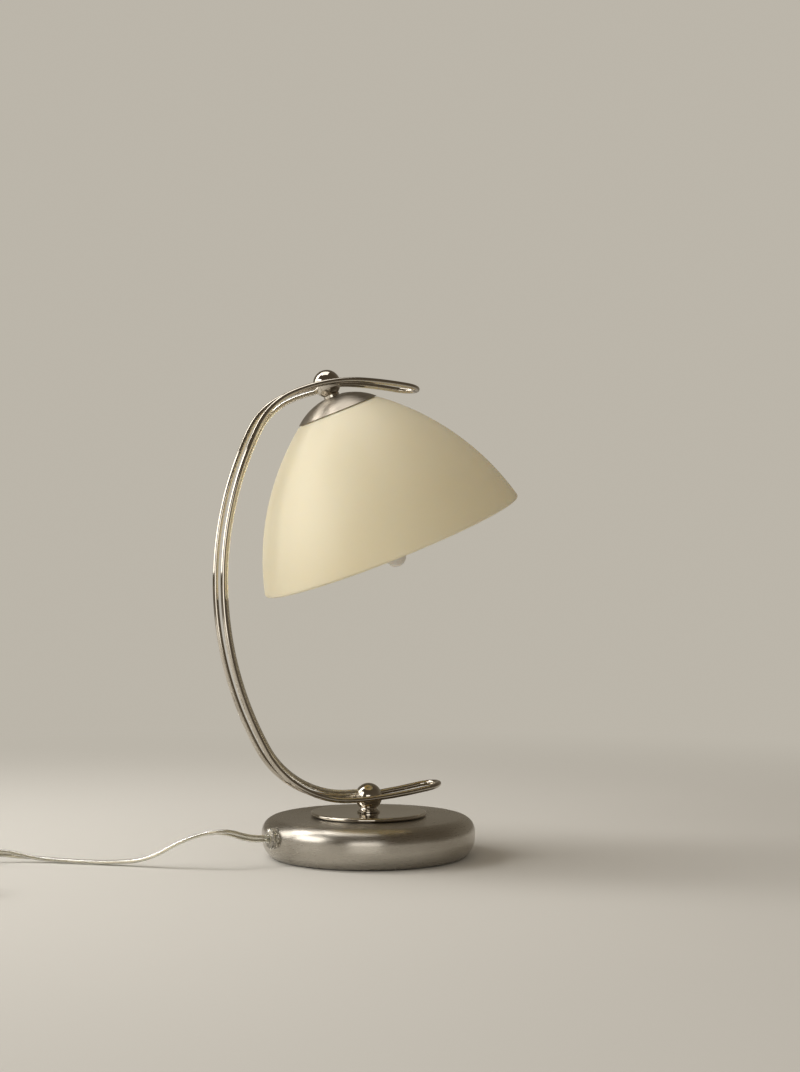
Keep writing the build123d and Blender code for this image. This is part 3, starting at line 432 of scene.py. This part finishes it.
def polished_disc():
    """The trim disc on its boss, with a rounded bead round its edge."""
    under = BASE_TOP + BOSS_H
    top = under + DISC_T
    bead_z = top + DISC_LIFT - DISC_BEAD_R
    outline = [(STEM_HOLE_R, BASE_TOP), (BOSS_R, BASE_TOP), (BOSS_R, under), (DISC_FLAT_R, under)]
    outline += bend(DISC_R - DISC_BEAD_R, bead_z, DISC_BEAD_R, DISC_BEAD_LOW, 90, steps=20)
    outline += [(DISC_FLAT_R, top), (STEM_HOLE_R, top)]
    shape = lathe(outline, steps=160)
    piece("polished_disc", shape, "polished_steel", "base", replaced=["trim_disc"])


BALL_R = 10.0
LOW_BALL_Z = 43.0
FOOT_Z = 32.0
FOOT_R = 8.5
FOOT_BEVEL = 0.2
FOOT_EDGE = 0.7
FOOT_HOLLOW = [(7.55, 33.15), (6.85, 33.85), (6.45, 34.6)]
FOOT_NECK_R = 6.3
FOOT_SEAT = 0.6  # how far its middle lies below its neck, under the ball


def ball_foot():
    neck_z = LOW_BALL_Z - sqrt(BALL_R**2 - FOOT_NECK_R**2)
    outline = [
        (STEM_HOLE_R, FOOT_Z),
        (FOOT_R - FOOT_BEVEL, FOOT_Z),
        (FOOT_R, FOOT_Z + FOOT_BEVEL),
        (FOOT_R, FOOT_Z + FOOT_EDGE),
        *FOOT_HOLLOW,
        (FOOT_NECK_R, neck_z),
        (STEM_HOLE_R, neck_z - FOOT_SEAT),
    ]
    piece("ball_foot", lathe(outline, steps=64), "polished_steel", "arm", replaced=["swivel_foot"])


base_bun()
polished_disc()
ball_foot()


# Arc: a closed loop of rod, with the cable inside it. A run is arcs of (radius, degrees) in the XZ plane.
ROD_R = 2.0
LEG_Y = 12.3
SLOPE = 5.0  # of the rods where they pass the lower ball, in degrees
LIP = [(-420.0, -5.8)]
BACK = [(200.0, 5.0), (72.0, 61.0), (250.3, 55.0), (54.0, 40.0), (124.0, 13.5)]
TOP = [(124.0, 12.0), (330.0, 5.4)]
LOW_BALL = (0, LOW_BALL_Z)
STEP_TURN = 1.5  # the most that a run turns between two points, in degrees
STEP_LENGTH = 4.0
END_STEPS = 16


def run(start, heading, arcs, shift=0.0):
    """Points along tangent arcs that turn right, shifted to that side, and the heading at the end."""
    right = radians(heading - 90)
    x = start[0] + shift * cos(right)
    z = start[1] + shift * sin(right)
    points = [(x, z)]
    for radius, turn in arcs:
        r = radius - shift
        right = radians(heading - 90)
        cx = x + r * cos(right)
        cz = z + r * sin(right)
        steps = max(2, int(abs(turn) / STEP_TURN), int(r * radians(abs(turn)) / STEP_LENGTH))
        points += bend(cx, cz, r, heading + 90, heading + 90 - turn, steps)[1:]
        x, z = points[-1]
        heading -= turn
    return points, heading


def end_loop(end, heading, side):
    """Points between the legs round one end of the loop, from one leg to the other."""
    points = []
    for k in range(1, END_STEPS):
        a = pi * k / END_STEPS
        out = LEG_Y * sin(a)
        x = end[0] + cos(radians(heading)) * out
        z = end[1] + sin(radians(heading)) * out
        points.append((x, -side * LEG_Y * cos(a), z))
    return points


back, back_heading = run(LOW_BALL, 180 + SLOPE, BACK)
high_ball = back[-1]


def loop_line():
    """Points all the way round the middle of the rod."""
    top, top_heading = run(high_ball, back_heading, TOP)
    lip, lip_heading = run(LOW_BALL, SLOPE, LIP)
    leg = lip[::-1] + back[1:] + top[1:]
    line = [(x, -LEG_Y, z) for x, z in leg]
    line += end_loop(top[-1], top_heading, 1)
    line += [(x, LEG_Y, z) for x, z in leg[::-1]]
    return line + end_loop(lip[-1], lip_heading, -1)


def carried(ways):
    """A direction across each way, carried on from the one before, and how far it has turned at the end."""
    sides = [ways[0].orthogonal().normalized()]
    for a, b in zip(ways, ways[1:] + ways[:1]):
        sides.append(a.rotation_difference(b) @ sides[-1])
    turned = sides[0].angle(sides[-1])
    if sides[-1].cross(sides[0]).dot(ways[0]) <= 0:
        turned = -turned
    return sides, turned


def loop_tube(points, radius, sides):
    """A closed round tube whose rings are carried along and meet without a step."""
    count = len(points)
    ways = [(Vector(points[(i + 1) % count]) - Vector(points[i - 1])).normalized() for i in range(count)]
    across, turned = carried(ways)
    vertices = []
    for i, p in enumerate(points):
        first = Matrix.Rotation(turned * i / count, 3, ways[i]) @ across[i]
        second = ways[i].cross(first)
        vertices += [Vector(p) + first * a + second * b for a, b in round_section(radius, sides)]
    return vertices, skin(count, sides, closed=True)


def rod_loop():
    shape = loop_tube(loop_line(), ROD_R, sides=24)
    piece("rod_loop", shape, "polished_steel", "arm", replaced=["arc_rods"])


CABLE_R = 1.8
CABLE_INSET = 4.6  # how far the cable lies inside the rods' own arcs
CABLE_STOP = 6.5  # how far it ends from the middle of the upper ball
STRAND_R = 0.5
STRAND_Y = 0.75
ARC_UP = Vector((0, 1, 0))


def arc_lead():
    """The clear cable inside the arc, with two thin cores in it."""
    last_radius, last_turn = BACK[-1]
    arcs = [*BACK[:-1], (last_radius, last_turn - degrees(CABLE_STOP / last_radius))]
    line = [(x, 0, z) for x, z in run(LOW_BALL, 180 + SLOPE, arcs, CABLE_INSET)[0]]
    shape = tube(line, round_section(CABLE_R, 16), up=ARC_UP)
    piece("arc_lead", shape, "arc_cord", "arm", replaced=["arc_cable"])
    for letter, y in (("a", -STRAND_Y), ("b", STRAND_Y)):
        strand = [(x, y, z) for x, _, z in line[1:-1]]
        shape = tube(strand, round_section(STRAND_R, 8), up=ARC_UP)
        piece("arc_core_" + letter, shape, "tinned_core", "arm")


LOW_BALL_CUT = -60.0  # the angle below which the lower ball is cut off flat, in its foot


def moved_to(middle):
    """The matrix that carries the origin to a point of the XZ plane."""
    return Matrix.Translation(Vector((middle[0], 0, middle[1])) * MM)


def ball(name, middle, body, replaced, low=-90.0):
    shape = lathe(bend(0, 0, BALL_R, low, 90, steps=40), steps=80)
    piece(name, shape, "polished_steel", body, replaced=[replaced], matrix=moved_to(middle))


rod_loop()
arc_lead()
ball("ball_low", LOW_BALL, "arm", "lower_ball", LOW_BALL_CUT)
ball("ball_high", high_ball, "head", "upper_ball")


# Head: made upright below the upper ball, then tilted about it
TILT = 23.0
HEAD = moved_to(high_ball) @ Matrix.Rotation(radians(-TILT), 4, "Y")
NIPPLE_HOLE_R = 4.05
CAP_TOP = 10.3
CAP_BASE = 21.3
CAP_R = 30.6
CAP_DOME_R = 46.0
CAP_WALL = 1.2
CAP_LIP = 1.7  # how far inside its edge the inner face begins
CAP_EDGE = [(-1.3, -0.02), (-0.35, 0.0), (-0.08, 0.2)]  # its rounded edge, from its outer corner


def cap_arc(radius, low_r, top):
    """The dome's arc from its rim up to where it meets the flat top."""
    middle = -CAP_BASE - sqrt(CAP_DOME_R**2 - CAP_R**2)
    start = degrees(acos(low_r / radius))
    end = degrees(asin((-top - middle) / radius))
    return bend(0, middle, radius, start, end, steps=24)


def dome_cap():
    edge = [(CAP_R + x, z - CAP_BASE) for x, z in CAP_EDGE]
    outer = cap_arc(CAP_DOME_R, CAP_R, CAP_TOP) + [(NIPPLE_HOLE_R, -CAP_TOP)]
    under = CAP_TOP + CAP_WALL
    inner = cap_arc(CAP_DOME_R - CAP_WALL, CAP_R - CAP_LIP, under) + [(NIPPLE_HOLE_R, -under)]
    shape = lathe(edge + outer[1:] + inner[::-1], steps=128)
    piece("dome_cap", shape, "cap_steel", "head", replaced=["shade_cap"], matrix=HEAD)


COLLAR_R = 5.8
COLLAR_TOP = 8.3
COLLAR_BEVEL = 0.3


def collar():
    outline = [
        (NIPPLE_HOLE_R, -CAP_TOP),
        (COLLAR_R, -CAP_TOP),
        (COLLAR_R, -COLLAR_TOP - COLLAR_BEVEL),
        (COLLAR_R - COLLAR_BEVEL, -COLLAR_TOP),
        (NIPPLE_HOLE_R, -COLLAR_TOP),
    ]
    shape = lathe(outline, steps=48)
    piece("collar", shape, "polished_steel", "head", replaced=["neck_collar"], matrix=HEAD)


GLASS_WALL = 3.6
GLASS_R = 100.2
GLASS_DROP = 106.0
GLASS_ARC_R = 190.0
GLASS_SHOULDER_R = 31.0
GLASS_SHOULDER_RISE = 4.8
GLASS_GAP = 0.9  # between the cap's edge and the glass
GLASS_HOLE_R = 14.6


def arc_centre(start, end, radius):
    """The middle of the arc from start to end, on its left."""
    x = (start[0] + end[0]) / 2
    z = (start[1] + end[1]) / 2
    dx = end[0] - start[0]
    dz = end[1] - start[1]
    half = hypot(dx, dz) / 2
    away = sqrt(radius**2 - half**2) / (2 * half)
    return x - dz * away, z + dx * away


def glass_bowl():
    """The shade: a curved wall with a rounded rim, and a shoulder that goes in under the cap."""
    rim = (GLASS_R, -CAP_BASE - GLASS_DROP)
    shoulder = (GLASS_SHOULDER_R, -CAP_BASE - GLASS_GAP)
    x, z = arc_centre(rim, shoulder, GLASS_ARC_R)
    lip_r = GLASS_WALL / 2
    low = degrees(atan2(rim[1] - z, rim[0] - x) + lip_r / GLASS_ARC_R)
    high = degrees(atan2(shoulder[1] - z, shoulder[0] - x))
    lip_x = x + (GLASS_ARC_R - lip_r) * cos(radians(low))
    lip_z = z + (GLASS_ARC_R - lip_r) * sin(radians(low))
    lip = bend(lip_x, lip_z, lip_r, low - 180, low, steps=12)
    outside = bend(x, z, GLASS_ARC_R, low, high, steps=48)
    inside = bend(x, z, GLASS_ARC_R - GLASS_WALL, low, high, steps=48)
    neck_z = shoulder[1] + GLASS_SHOULDER_RISE
    neck = [(GLASS_HOLE_R, neck_z), (GLASS_HOLE_R, neck_z - GLASS_WALL)]
    shape = lathe(lip[1:-1] + outside + neck + inside[::-1], steps=192)
    piece("glass_bowl", shape, "opal_glass", "head", replaced=["glass_shade"], matrix=HEAD, still=True)


BULB_R = 17.5
BULB_WIDEST = 98.0
BULB_TAPER_R = 86.0
BULB_TIP_R = 7.5
BULB_MOUTH = 72.0
BULB_CAP_R = 6.75


def bulb_side():
    """The candle bulb from its cap to its tip."""
    step_in = BULB_R - BULB_CAP_R
    rise = BULB_WIDEST - BULB_MOUTH
    neck_r = (step_in**2 + rise**2) / (2 * step_in)
    neck_turn = degrees(atan2(rise, neck_r - step_in))
    taper_x = BULB_R - BULB_TAPER_R
    tip_z = -BULB_WIDEST - sqrt((BULB_TAPER_R - BULB_TIP_R) ** 2 - taper_x**2)
    lean = degrees(atan2(-BULB_WIDEST - tip_z, -taper_x))
    side = bend(BULB_R - neck_r, -BULB_WIDEST, neck_r, neck_turn, 0, steps=20)
    side += bend(taper_x, -BULB_WIDEST, BULB_TAPER_R, 0, -lean, steps=30)[1:]
    return side + bend(0, tip_z, BULB_TIP_R, -lean, -90, steps=12)[1:]


def bulb_shell():
    outline = bulb_side() + [(0, -BULB_MOUTH)]
    shape = lathe(outline[::-1], steps=64)
    piece("bulb_shell", shape, "bulb_glass", "head", replaced=["bulb_glass", "bulb_stem"], matrix=HEAD)


dome_cap()
collar()
glass_bowl()
bulb_shell()


# Cords: flat two-core lead, by the control points of its smooth line
CORD_W = 5.4
CORD_T = 2.8
CORD_CORE_R = 0.8
CORD_CORE_AT = (CORD_W - CORD_T) / 2
CORD_WEB = 0.32 * pi  # how far past its middle each core's round goes on, to where it meets the other
LEAD = [
    (-79.8, -17.0, 18.4), (-93.4, -19.9, 18.4), (-114.4, -21.6, 26.6), (-138.5, -12.5, 20.9),
    (-162.1, 1.5, 4.8), (-186.0, 18.0, 1.8), (-212.0, 35.5, 1.6), (-236.1, 50.0, 3.0),
    (-260.0, 58, 7.5), (-282, 58, 7.5),
]
LINK = [
    (-332, 58, 7.5), (-351, 58, 7.5), (-368, 50, 6.0), (-380.5, 29.5, 4.2), (-382, 9, 3.8),
    (-382, -2.6, 3.8),
]
TAIL = [
    (-380.35, -13.4, 9.7), (-380.35, -27.4, 9.7), (-378.15, -45.4, 7.35), (-365.85, -61.0, 6.85),
    (-350.35, -66.5, 6.85), (-338.6, -66.5, 6.85),
]
COIL_X = -345.5
COIL_Y = -8.0
COIL_Z = 3.8
COIL_RISE = 5.9
COIL_R = 36.5
COIL_PITCH = 3.3
COIL_IN_TURNS = 7  # half turns
COIL_OUT_TURNS = 6
COIL_POINTS = 8  # in each half turn
COIL_OUTSIDE = 1.0194  # control points lie this much outside a turn, because the spline cuts inside them


def coil_points():
    """Control points of the coil: it draws in, climbs a layer in half a turn, and opens out."""
    inward = [COIL_R - COIL_PITCH / 2 * k for k in range(COIL_IN_TURNS)]
    inmost = inward[-1] - COIL_PITCH
    outward = [inward[-1] + COIL_PITCH / 2 * k for k in range(COIL_OUT_TURNS)]
    radii = inward + [inmost, inmost] + outward
    heights = [COIL_Z] * (COIL_IN_TURNS + 1) + [COIL_Z + COIL_RISE] * (COIL_OUT_TURNS + 1)
    points = []
    for k in range(1, (len(radii) - 1) * COIL_POINTS):
        i = k // COIL_POINTS
        share = k % COIL_POINTS / COIL_POINTS
        r = (radii[i] * (1 - share) + radii[i + 1] * share) * COIL_OUTSIDE
        z = heights[i] * (1 - share) + heights[i + 1] * share
        a = pi + pi * k / COIL_POINTS
        points.append((COIL_X + r * cos(a), COIL_Y + r * sin(a), z))
    return points


def smooth_line(name, points):
    """Points in millimetres along the spline that has these control points."""
    curve = bpy.data.curves.new(name, "CURVE")
    curve.dimensions = "3D"
    spline = curve.splines.new("NURBS")
    spline.points.add(len(points) - 1)
    for spot, p in zip(spline.points, points):
        spot.co = (p[0] * MM, p[1] * MM, p[2] * MM, 1)
    spline.order_u = 3
    spline.use_endpoint_u = True
    spline.resolution_u = 8
    thing = bpy.data.objects.new(name, curve)
    scene.collection.objects.link(thing)
    bpy.context.view_layer.update()
    mesh = bpy.data.meshes.new_from_object(thing)
    line = [Vector(v.co) / MM for v in mesh.vertices]
    bpy.data.objects.remove(thing)
    bpy.data.meshes.remove(mesh)
    return line


def flat_section(steps=12):
    """Two round cores side by side, joined by a thin web: (across, along the wide way)."""
    r = CORD_T / 2
    turns = [-CORD_WEB + (pi + 2 * CORD_WEB) * k / steps for k in range(steps + 1)]
    half = [(r * cos(a), CORD_CORE_AT + r * sin(a)) for a in turns]
    return half + [(-x, -y) for x, y in half]


def cord(name, points, replaced, twist):
    """A flat clear cord with its two stranded cores inside it."""
    line = smooth_line(name + "_line", points)
    shape = tube(line, flat_section(), twist=twist)
    jacket = piece(name, shape, "clear_cord", "base", replaced=replaced, sharp=60)
    for letter, at in (("a", -CORD_CORE_AT), ("b", CORD_CORE_AT)):
        ring = [(a, b + at) for a, b in round_section(CORD_CORE_R, 8)]
        shape = tube(line[1:-1], ring, twist=twist)
        piece(f"{name}_core_{letter}", shape, "tinned_core", "base")


LEAD_FLAT = (0.06, 0.30)  # shares of the way over which the lead turns flat
LEAD_UPRIGHT = (0.78, 0.92)  # and upright again


def smooth_step(value, low, high):
    share = min(1.0, max(0.0, (value - low) / (high - low)))
    return share * share * (3 - 2 * share)


def lead_twist(share):
    """Upright at both ends, flat on the table between them."""
    return (smooth_step(share, *LEAD_FLAT) - smooth_step(share, *LEAD_UPRIGHT)) * pi / 2


cord(
    "lead_cord", LEAD, replaced=["cord_lead"], twist=lead_twist,
)
cord(
    "flex_cord", LINK + coil_points() + TAIL, replaced=["cord_link", "cord_coil", "cord_tail"],
    twist=None,
)


# Floor and backdrop, in metres
BACKDROP = (0.50, 0.465, 0.40)
PAPER = (0.72, 0.71, 0.68)
PAPER_DIP = 0.985  # the darkest of its faint mottle
FADE = (0.25, 1.15)  # how far from the lamp the paper begins and ends to fade into the backdrop
FLOOR_REACH = 40.0


def ease(tree, value, from_range, to_range):
    """A smooth step between two numbers."""
    return remap(tree, value, from_range, to_range, interpolation_type="SMOOTHSTEP")


def mix_shaders(tree, share, first, second):
    inputs = {0: share, 1: first.outputs[0], 2: second.outputs[0]}
    return add(tree, "ShaderNodeMixShader", inputs)


def seen_directly(tree):
    """1 where the camera sees the surface, straight or through clear plastic."""
    path = add(tree, "ShaderNodeLightPath")
    return math_node(tree, "MAXIMUM", path.outputs["Is Camera Ray"], path.outputs["Is Transmission Ray"])


def pale_floor():
    """Pale paper, lit and shadowed round the lamp, that runs into the backdrop far away."""
    tree, shader = new_material("pale_floor")
    tree.nodes.remove(shader)
    mottle = noise(tree, place(tree), scale=3.0)
    colour = tint(tree, mottle, [channel * PAPER_DIP for channel in PAPER], PAPER)
    matt = add(tree, "ShaderNodeBsdfDiffuse", {"Color": colour})
    glow = add(tree, "ShaderNodeEmission", {"Color": (*BACKDROP, 1), "Strength": 1.0})
    far = add(tree, "ShaderNodeVectorMath", {0: place(tree)}, operation="LENGTH").outputs["Value"]
    share = math_node(tree, "MULTIPLY", seen_directly(tree), ease(tree, far, FADE, (0.0, 1.0)))
    mix = mix_shaders(tree, share, matt, glow)
    feed(tree, tree.nodes["Material Output"], {"Surface": mix.outputs[0]})
    return MATERIALS["pale_floor"]


def make_floor():
    reach = FLOOR_REACH
    corners = [(-reach, -reach, 0), (reach, -reach, 0), (reach, reach, 0), (-reach, reach, 0)]
    mesh = bpy.data.meshes.new("floor")
    mesh.from_pydata(corners, [], [(0, 1, 2, 3)])
    mesh.materials.append(pale_floor())
    floor = bpy.data.objects.new("floor", mesh)
    scene.collection.objects.link(floor)


make_floor()


# World: what lights the lamp from all round, and what its metal mirrors
AMBIENT = (1.0, 0.88, 0.72)
AMBIENT_STRENGTH = 0.26
STUDIO_DARK = (0.080, 0.062, 0.042)
STUDIO_PALE = (0.20, 0.175, 0.135)
TO_FRONT = (-0.334, -0.943, 0.0)


def blend(tree, share, first, second):
    """A mix of two plain colours by a share from 0 to 1."""
    node = add(tree, "ShaderNodeMix", {"Factor": share}, data_type="RGBA")
    slots = [socket for socket in node.inputs if socket.type == "RGBA"]
    for socket, colour in zip(slots, (first, second)):
        socket.default_value = (*colour, 1)
    return [socket for socket in node.outputs if socket.type == "RGBA"][0]


def mirrored_studio(tree):
    """The studio that metal mirrors: pale behind the lamp and low down, darker in front and above."""
    way = add(tree, "ShaderNodeTexCoord").outputs["Generated"]
    facing = add(tree, "ShaderNodeVectorMath", {0: way, 1: TO_FRONT}, operation="DOT_PRODUCT")
    height = add(tree, "ShaderNodeSeparateXYZ", {"Vector": way}).outputs[2]
    behind = ease(tree, facing.outputs["Value"], (-0.80, 0.10), (1.0, 0.20))
    low = ease(tree, height, (0.15, 0.70), (1.0, 0.45))
    colour = blend(tree, math_node(tree, "MULTIPLY", behind, low), STUDIO_DARK, STUDIO_PALE)
    return add(tree, "ShaderNodeBackground", {"Color": colour, "Strength": 1.0})


def make_world():
    """Soft warm light from all round, with a plain backdrop for the camera and a studio for metal."""
    world = bpy.data.worlds.new("world")
    world.use_nodes = True
    tree = world.node_tree
    ambient = tree.nodes["Background"]
    feed(tree, ambient, {"Color": (*AMBIENT, 1), "Strength": AMBIENT_STRENGTH})
    shown = add(tree, "ShaderNodeBackground", {"Color": (*BACKDROP, 1), "Strength": 1.0})
    plain_mix = mix_shaders(tree, seen_directly(tree), ambient, shown)
    glossy = add(tree, "ShaderNodeLightPath").outputs["Is Glossy Ray"]
    mix = mix_shaders(tree, glossy, plain_mix, mirrored_studio(tree))
    feed(tree, tree.nodes["World Output"], {"Surface": mix.outputs[0]})
    scene.world = world


make_world()


# Lights, in metres, degrees and watts
LAMP_MIDDLE = Vector((0, 0, 0.17))
WHITE = (1.0, 0.97, 0.92)


def softbox(name, azimuth, elevation, distance, width, height, power):
    """A rectangular light on a sphere round the lamp's middle, out of the camera's sight."""
    data = bpy.data.lights.new(name, "AREA")
    data.shape = "RECTANGLE"
    data.size = width
    data.size_y = height
    data.energy = power
    data.color = WHITE
    flat = distance * cos(radians(elevation))
    lift = distance * sin(radians(elevation))
    away = Vector((flat * cos(radians(azimuth)), flat * sin(radians(azimuth)), lift))
    light = bpy.data.objects.new(name, data)
    light.location = LAMP_MIDDLE + away
    light.rotation_euler = (-away).to_track_quat("-Z", "Y").to_euler()
    light.visible_camera = False
    scene.collection.objects.link(light)


softbox("key", azimuth=184, elevation=19, distance=1.3, width=0.8, height=0.7, power=5.7)
softbox("left_back", azimuth=148, elevation=18, distance=1.2, width=0.5, height=0.6, power=2.4)
softbox("left_mid", azimuth=152, elevation=40, distance=1.4, width=0.35, height=0.4, power=1.2)
softbox("high_left", azimuth=147, elevation=50, distance=1.4, width=0.45, height=0.8, power=4.2)
softbox("front", azimuth=248, elevation=2, distance=1.4, width=0.8, height=0.6, power=2.8)
softbox("top", azimuth=150, elevation=80, distance=1.6, width=1.0, height=1.0, power=6.5)
